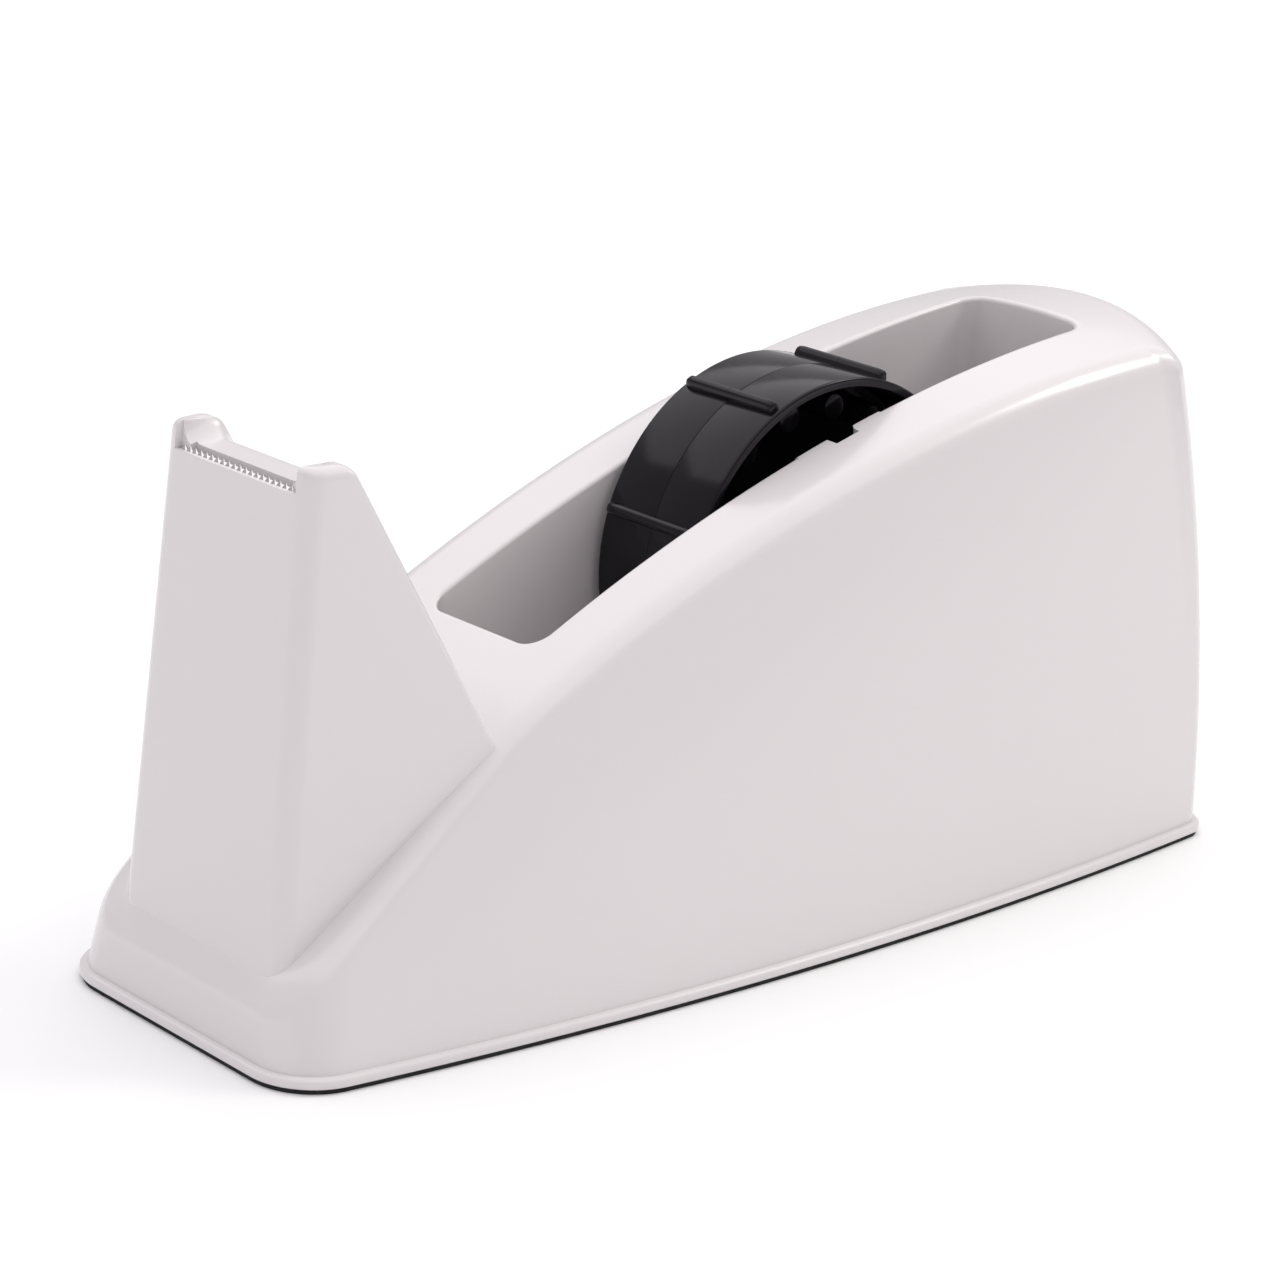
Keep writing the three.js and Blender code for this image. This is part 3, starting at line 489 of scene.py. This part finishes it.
def make_tower():
    knee_z = TOWER_TOP - TOP_ROUND_DEPTH
    rings = [tower_ring(z) for z in np.linspace(BASE_Z + 6, knee_z, 30)]
    drops = [TOP_ROUND_DEPTH * (1 - math.sin(math.pi / 2 * k / 14)) for k in range(1, 14)]
    rings += [tower_ring(TOWER_TOP - drop) for drop in drops]
    rings += [tower_ring(TOWER_TOP - 0.001)]
    body = ring_solid("tower", rings)
    boolean(body, recess_solid(), "DIFFERENCE")
    boolean(body, face_box("teeth_room", -5, 1.3, TEETH_HALF, 97.6, CUT_TOP), "DIFFERENCE")
    boolean(body, face_box("trough", 0.8, 2.6, TROUGH_HALF, 94.0, CUT_TOP), "DIFFERENCE")
    boolean(body, face_box("slit", 0.8, 1.4, TEETH_HALF, 88.0, CUT_TOP), "DIFFERENCE")
    return body


casing = make_casing()
boolean(casing, make_tower(), "UNION")
smooth(casing, 30)


# ------------------------------------------------------------------ tray and pad


def flat_plan(inset, z):
    x, y = plan(inset + 0 * SHARE, inset + 0 * SHARE, lambda _: inset, inset + 0 * SHARE)
    return np.stack([x, y, z + 0 * SHARE], 1)


def slab(name, edge, inner):
    """Flat slab with the flange's outline; edge is its rim as (inset, z), bottom to top."""
    stations = [(inner, edge[0][1])] + edge + [(inner, edge[-1][1])]
    rows = [flat_plan(inset, z) for inset, z in stations]
    return ring_solid(name, mirrored_rings(rows))


def rim_curve(inset, low, high, radius, steps=6):
    points = [(inset + radius * (1 - math.sin(a)), low + radius * (1 - math.cos(a)))
              for a in np.linspace(0, math.pi / 2, steps)]
    points += [(inset + radius * (1 - math.cos(a)), high - radius * (1 - math.sin(a)))
               for a in np.linspace(0, math.pi / 2, steps)]
    return points


def disc(name, x, y, radius, z0, z1, steps=40):
    loop = [(x + radius * math.cos(2 * math.pi * k / steps), y + radius * math.sin(2 * math.pi * k / steps))
            for k in range(steps)]
    return ring_solid(name, [[(a, b, z) for a, b in loop] for z in (z0, z1)])


SCREWS = [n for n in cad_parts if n.startswith("screw_")]


def cut_screw_holes(obj, extra, top):
    for name in SCREWS:
        low, high = box_mm(name)
        x, y = (low[0] + high[0]) / 2 - FRONT_X, (low[1] + high[1]) / 2
        boolean(obj, disc("hole", x, y, (high[0] - low[0]) / 2 + extra, -2, top), "DIFFERENCE")


tray = slab("tray_skin", rim_curve(0, PAD_TOP, BASE_Z, 0.8), 8)
cut_screw_holes(tray, 0.3, PAD_TOP + 1.2)
smooth(tray)
pad = slab("foam_pad", rim_curve(0.6, 0, PAD_TOP - 0.01, 0.2, 4), 10)
cut_screw_holes(pad, 0.6, 3)
smooth(pad)

# ------------------------------------------------------------------ hub and axle


def turned(name, profile, steps=160):
    """Solid of revolution about the axle from a closed (radius, y) profile."""
    rings = []
    turns = [2 * math.pi * k / steps for k in range(steps)]
    for r, y in profile + profile[:1]:
        rings.append([(HUB_X + r * math.cos(a), y, HUB_Z + r * math.sin(a)) for a in turns])
    return ring_solid(name, rings, caps=())


HUB_R, HUB_HALF, RIM, WEB, BOSS, BOSS_TOP = 36.2, 12.45, 1.8, 1.8, 9.0, 5.2
STUDS, STUD_CIRCLE, STUD_R, STUD_TOP = 16, 29.5, 2.6, 7.0
RIB_PHASE, RIB_COUNT, RIB_REACH = 27.0, 8, 11.3


def rib(name, degrees, side):
    """Bar along the rim with sloped flanks, a narrow crest and drawn-in ends."""
    a = math.radians(degrees)
    flank = [(1.25, -0.4), (1.15, 0.5), (0.95, 1.35), (0.62, 1.72), (0.34, 1.8)]
    section = [(-t, h) for t, h in flank] + flank[::-1]
    stations = [(0.03, 1.0), (0.6 * RIB_REACH, 1.0), (0.86 * RIB_REACH, 1.0), (0.95 * RIB_REACH, 0.93),
                (0.985 * RIB_REACH, 0.8), (RIB_REACH, 0.5)]
    rings = []
    for y, size in stations:
        ring = []
        for t, h in section:
            t2 = t * (0.55 + 0.45 * size)
            r = HUB_R + (h * size if h > 0 else h)
            x, z = r * math.cos(a) - t2 * math.sin(a), r * math.sin(a) + t2 * math.cos(a)
            ring.append((HUB_X + x, side * y, HUB_Z + z))
        rings.append(ring)
    return ring_solid(name, rings, 50)


def hub_half(name, side):
    end = HUB_HALF
    corners = [(5.08, 0.02), (HUB_R, 0.02), (HUB_R, end), (HUB_R - RIM, end), (HUB_R - RIM, WEB), (BOSS, WEB),
               (BOSS, BOSS_TOP), (5.08, BOSS_TOP)]
    profile = rounded_outline(corners, [0, 0.14, 0.55, 0.35, 0.6, 0.6, 0.4, 0.3], 5)
    half = turned(name, [(r, side * y) for r, y in profile])
    parts = [rib("rib", RIB_PHASE + 45 * k, side) for k in range(RIB_COUNT)]
    for k in range(STUDS):
        a = math.radians(RIB_PHASE + 22.5 * (k + 0.5))
        cx, cz = STUD_CIRCLE * math.cos(a), STUD_CIRCLE * math.sin(a)
        rings = []
        for r, y in [(STUD_R + 0.35, WEB - 0.3), (STUD_R + 0.08, WEB + 0.3), (STUD_R, WEB + 0.7),
                     (STUD_R, STUD_TOP - 0.5), (STUD_R - 0.15, STUD_TOP - 0.15), (STUD_R - 0.5, STUD_TOP)]:
            rings.append([(HUB_X + cx + r * math.cos(b), side * y, HUB_Z + cz + r * math.sin(b))
                          for b in np.linspace(0, 2 * math.pi, 25)[:-1]])
        parts.append(ring_solid("stud", rings))
    join(half, parts)
    return half


def join(target, others):
    bm = bmesh.new()
    bm.from_mesh(target.data)
    for other in others:
        bm.from_mesh(other.data)
        bpy.data.objects.remove(other)
    bm.to_mesh(target.data)
    bm.free()


hub_left = hub_half("hub_shell_left", 1)
hub_right = hub_half("hub_shell_right", -1)

shoulder, journal_end = HUB_HALF + 0.3, AXLE_HIGH[1]
JOURNAL_R, AXLE_R, AXLE_CHAMFER = 2.6, 5.0, 0.3
axle_half = [(AXLE_R, shoulder - AXLE_CHAMFER), (4.7, shoulder), (JOURNAL_R, shoulder),
             (JOURNAL_R, journal_end - AXLE_CHAMFER), (2.3, journal_end), (0.01, journal_end)]
axle_profile = [(r, -y) for r, y in axle_half[::-1]] + axle_half
pin = turned("axle_pin", axle_profile, 64)

# ------------------------------------------------------------------ blade


def make_blade():
    """Toothed steel strip: each tooth is ground from one side, so its facet slants."""
    count, half, thickness, tooth = 21, 16.2, 0.45, 1.0
    pitch = 2 * half / count
    root = 97.45
    points, faces = [], []

    def add(x, y, z):
        points.append((tower_front(z) + x, y, z))
        return len(points) - 1
    front, back = 0.85, 0.85 + thickness
    for k in range(count):
        y0, y1 = -half + k * pitch, -half + (k + 1) * pitch
        apex = y0 + 0.5 * pitch
        a = add(front, y0, root - 0.15)
        b = add(front, y1, root - 0.15)
        c = add(back, y0, root + 0.12)
        d = add(back, y1, root + 0.12)
        t = add(back - 0.04, apex, root + tooth)
        m = add(front + 0.02, apex, root + 0.1)
        faces += [(a, m, t), (a, t, c), (m, b, t), (b, d, t), (c, t, d), (a, b, m)]
    low, high = BLADE_FOOT, root - 0.15
    f = [add(front, -half, low), add(front, half, low), add(back, half, low), add(back, -half, low),
         add(front, -half, high), add(front, half, high),
         add(back, half, root + 0.12), add(back, -half, root + 0.12)]
    faces += [(f[0], f[1], f[2], f[3]), (f[0], f[1], f[5], f[4]), (f[1], f[2], f[6], f[5]),
              (f[2], f[3], f[7], f[6]), (f[3], f[0], f[4], f[7]), (f[4], f[5], f[6], f[7])]
    return new_object("blade_strip", points, faces, 5)


def make_blade_bed():
    """The strip's folded back flange, which floors the trough behind the teeth."""
    half = TROUGH_HALF - 0.05
    section = [(1.35, 96.9), (2.4, 97.5), (2.5, 97.2), (1.35, 96.6)]
    points = [(tower_front(z) + x, y, z) for y in (-half, half) for x, z in section]
    return new_object("blade_bed", points, grid_faces(2, 4) + [(0, 1, 2, 3), (4, 5, 6, 7)], 5)


blade = make_blade()
join(blade, [make_blade_bed()])

# ------------------------------------------------------------------ materials


class Material:
    """A node material around one Principled shader."""

    def __init__(self, name, **values):
        self.material = bpy.data.materials.new(name)
        self.material.use_nodes = True
        self.nodes = self.material.node_tree.nodes
        self.links = self.material.node_tree.links
        self.shader = next(n for n in self.nodes if n.type == "BSDF_PRINCIPLED")
        self.set(**values)
        self.place = self.nodes.new("ShaderNodeTexCoord").outputs["Object"]

    def set(self, **values):
        for key, value in values.items():
            self.shader.inputs[key.replace("_", " ")].default_value = value

    def noise(self, scale, detail=3.0, roughness=0.5, vector=None):
        node = self.nodes.new("ShaderNodeTexNoise")
        node.inputs["Scale"].default_value = scale
        node.inputs["Detail"].default_value = detail
        node.inputs["Roughness"].default_value = roughness
        self.links.new(vector or self.place, node.inputs["Vector"])
        return node.outputs["Fac"]

    def stretched(self, x, y, z):
        node = self.nodes.new("ShaderNodeMapping")
        node.inputs["Scale"].default_value = (x, y, z)
        self.links.new(self.place, node.inputs["Vector"])
        return node.outputs["Vector"]

    def ramp(self, value, stops):
        node = self.nodes.new("ShaderNodeValToRGB")
        elements = node.color_ramp.elements
        while len(elements) < len(stops):
            elements.new(0.5)
        for element, (position, colour) in zip(elements, stops):
            element.position = position
            element.color = colour if len(colour) == 4 else (*colour, 1)
        self.links.new(value, node.inputs["Fac"])
        return node.outputs["Color"]

    def spread(self, value, low, high):
        node = self.nodes.new("ShaderNodeMapRange")
        node.inputs["From Min"].default_value = 0.3
        node.inputs["From Max"].default_value = 0.7
        node.inputs["To Min"].default_value = low
        node.inputs["To Max"].default_value = high
        self.links.new(value, node.inputs["Value"])
        return node.outputs["Result"]

    def bump(self, value, strength, distance, normal=None):
        node = self.nodes.new("ShaderNodeBump")
        node.inputs["Strength"].default_value = strength
        node.inputs["Distance"].default_value = distance
        self.links.new(value, node.inputs["Height"])
        if normal is not None:
            self.links.new(normal, node.inputs["Normal"])
        return node.outputs["Normal"]

    def drive(self, socket, value):
        self.links.new(value, self.shader.inputs[socket])


def plastic(name, dark, light, rough, ripple, grain):
    m = Material(name, Metallic=0.0, IOR=1.5)
    m.drive("Base Color", m.ramp(m.noise(9, 2), [(0.3, dark), (0.7, light)]))
    m.drive("Roughness", m.spread(m.noise(900, 3), *rough))
    wave = m.bump(m.noise(16, 1), ripple, 0.0006)
    m.drive("Normal", m.bump(m.noise(2600, 2), grain, 0.00004, wave))
    return m


white = plastic("white_abs", (0.741, 0.705, 0.713), (0.756, 0.72, 0.728), (0.2, 0.26), 0.02, 0.02)
white.set(Coat_Weight=0.3, Coat_Roughness=0.08)
black = plastic("black_abs", (0.0045, 0.0042, 0.0055), (0.0065, 0.006, 0.0078), (0.11, 0.17), 0.05, 0.03)
black.set(IOR=1.34, Specular_Tint=(1.0, 0.9, 1.0, 1))
axle_black = plastic("axle_acetal", (0.016, 0.015, 0.018), (0.024, 0.022, 0.026), (0.3, 0.42), 0.05, 0.1)

foam = Material("pad_foam", Metallic=0.0)
foam_tones = [(0.3, (0.006, 0.006, 0.007)), (0.7, (0.02, 0.02, 0.021))]
foam.drive("Base Color", foam.ramp(foam.noise(900, 3), foam_tones))
foam.drive("Roughness", foam.spread(foam.noise(400, 3), 0.82, 0.96))
foam.drive("Normal", foam.bump(foam.noise(1500, 4), 0.5, 0.0002))

steel = Material("blade_steel", Metallic=1.0)
streaks = steel.noise(40, 4, 0.6, steel.stretched(60, 2, 60))
steel.drive("Base Color", steel.ramp(streaks, [(0.3, (0.62, 0.60, 0.60)), (0.7, (0.80, 0.78, 0.79))]))
steel.drive("Roughness", steel.spread(streaks, 0.14, 0.26))
steel.drive("Normal", steel.bump(streaks, 0.08, 0.00005))

zinc = Material("zinc_plate", Metallic=1.0)
zinc_tones = [(0.3, (0.50, 0.51, 0.54)), (0.7, (0.68, 0.68, 0.68))]
zinc.drive("Base Color", zinc.ramp(zinc.noise(500, 4), zinc_tones))
zinc.drive("Roughness", zinc.spread(zinc.noise(800, 4), 0.25, 0.45))
zinc.drive("Normal", zinc.bump(zinc.noise(1800, 2), 0.15, 0.00005))

iron = Material("cast_iron", Metallic=0.8)
iron_tones = [(0.3, (0.06, 0.058, 0.056)), (0.7, (0.14, 0.135, 0.13))]
iron.drive("Base Color", iron.ramp(iron.noise(120, 6), iron_tones))
iron.drive("Roughness", iron.spread(iron.noise(300, 4), 0.55, 0.8))
iron.drive("Normal", iron.bump(iron.noise(700, 6), 0.6, 0.0004))


def dress(obj, look):
    obj.data.materials.clear()
    obj.data.materials.append(look.material)


def stand_for(obj, look, body, node):
    dress(obj, look)
    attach(obj, body)
    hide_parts(node)


stand_for(casing, white, "dispenser", "casing")
stand_for(tray, white, "dispenser", "base_tray")
stand_for(pad, foam, "dispenser", "nonslip_pad")
stand_for(blade, steel, "dispenser", "cutting_blade")
stand_for(hub_left, black, "hub", "hub_half_left")
stand_for(hub_right, black, "hub", "hub_half_right")
stand_for(pin, axle_black, "axle", "axle")
for name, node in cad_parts.items():
    if name.startswith("screw_"):
        dress(node, zinc)
    if name.startswith("ballast_"):
        dress(node, iron)

# ------------------------------------------------------------------ floor, light and camera

floor_mesh = bpy.data.meshes.new("floor")
floor_mesh.from_pydata([(-6, -6, 0), (6, -6, 0), (6, 6, 0), (-6, 6, 0)], [], [(0, 1, 2, 3)])
floor = bpy.data.objects.new("floor", floor_mesh)
bpy.context.scene.collection.objects.link(floor)
paper = Material("pale_floor", Roughness=0.9)
paper_tones = [(0.3, (0.955, 0.955, 0.955)), (0.7, (0.97, 0.97, 0.97))]
paper.drive("Base Color", paper.ramp(paper.noise(3, 3), paper_tones))
dress(floor, paper)

bpy.context.scene.view_settings.view_transform = "Standard"
world = bpy.data.worlds.new("studio")
bpy.context.scene.world = world
world.use_nodes = True
world.node_tree.nodes["Background"].inputs["Color"].default_value = (0.985, 0.96, 1, 1)
world.node_tree.nodes["Background"].inputs["Strength"].default_value = 0.5


def lamp(name, place, target, size, power, colour):
    data = bpy.data.lights.new(name, "AREA")
    data.shape = "RECTANGLE"
    data.size, data.size_y = size
    data.energy = power
    data.color = colour
    obj = bpy.data.objects.new(name, data)
    bpy.context.scene.collection.objects.link(obj)
    obj.location = place
    obj.rotation_mode = "QUATERNION"
    obj.rotation_quaternion = (Vector(target) - Vector(place)).to_track_quat("-Z", "Y")
    return obj


lamp("ceiling", (0.6, 0.6, 2.6), (0.6, 0.6, 0), (6, 6), 109, (1.0, 0.99, 0.99))
lamp("side", (0.95, -0.5, 1.0), (0, 0, 0.05), (0.4, 0.4), 3.0, (1.0, 1.0, 0.88))

camera_data = bpy.data.cameras.new("camera")
camera = bpy.data.objects.new("camera", camera_data)
bpy.context.scene.collection.objects.link(camera)
camera_data.sensor_width = 36
camera_data.lens = 106.26
camera_data.clip_start, camera_data.clip_end = 0.02, 20
right = Vector((0.740411, -0.670157, 0.051774)).normalized()
back = Vector((-0.64988, -0.694082, 0.309687)).normalized()
axes = Matrix((right, back.cross(right), back)).transposed().to_4x4()
camera.matrix_world = Matrix.Translation((-0.46286, -0.47956, 0.2658)) @ axes
bpy.context.scene.camera = camera
